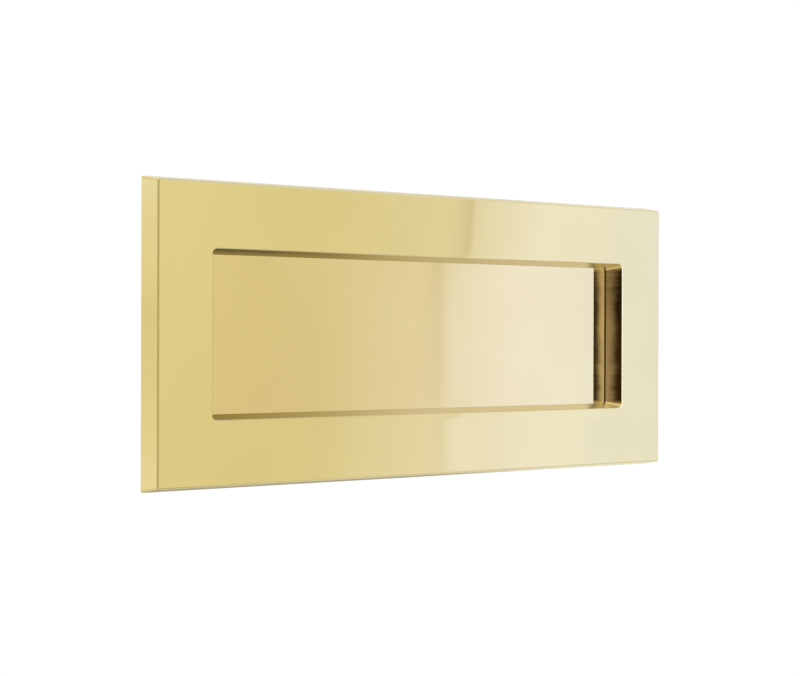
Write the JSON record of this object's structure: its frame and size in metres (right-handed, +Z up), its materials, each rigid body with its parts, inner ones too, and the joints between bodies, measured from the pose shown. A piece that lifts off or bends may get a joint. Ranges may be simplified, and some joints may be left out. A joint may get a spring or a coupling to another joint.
{
  "type": "letter plate",
  "caption": "Rectangular polished brass letter plate for a door, with a recessed letter aperture closed from behind by a sprung, inward-opening flap.",
  "frame": {"origin": "centre of the back face of the plate, midway between the two fixing bosses, in the plane that meets the door", "axes": "+X to the right seen from outside, along the plate's length; +Y into the door, the way the fixing bolts leave the bosses; +Z up"},
  "size_m": [0.254, 0.0193, 0.102],
  "materials": {
    "polished_brass_plate": "mirror polished",
    "polished_brass_flap": "mirror polished",
    "cast_brass": "as cast, lightly fettled",
    "brass_screw": "turned",
    "bright_steel": "bright drawn",
    "plated_steel": "zinc plated",
    "spring_steel": "drawn spring wire",
    "black_spring_steel": "phosphated",
    "acetal": "turned",
    "nylon": "moulded",
    "rubber": "moulded"
  },
  "bodies": {
    "plate": {"front_plate": "polished_brass_plate", "hinge_rod": "bright_steel", "hinge_bracket_left": "plated_steel", "bracket_screws_left": "plated_steel", "thrust_washer_left": "acetal", "spring_sleeve_left": "nylon", "torsion_spring_left": "spring_steel", "rod_clip_left": "black_spring_steel", "flap_buffer_left": "rubber", "hinge_bracket_right": "plated_steel", "bracket_screws_right": "plated_steel", "thrust_washer_right": "acetal", "spring_sleeve_right": "nylon", "torsion_spring_right": "spring_steel", "rod_clip_right": "black_spring_steel", "flap_buffer_right": "rubber"},
    "flap": {"flap": "polished_brass_flap", "flap_lug_left": "cast_brass", "lug_screws_left": "brass_screw", "flap_lug_right": "cast_brass", "lug_screws_right": "brass_screw"}
  },
  "joints": [
    {"name": "flap_hinge", "type": "hinge", "parent": "plate", "child": "flap", "pos_m": [0, 0.008, 0.0325], "axis": [1, 0, 0], "range_deg": [0, 85], "stiffness_Nm_per_rad": 0.12, "springref_deg": -40.11, "deforming": ["torsion_spring_left", "torsion_spring_right"]}
  ]
}
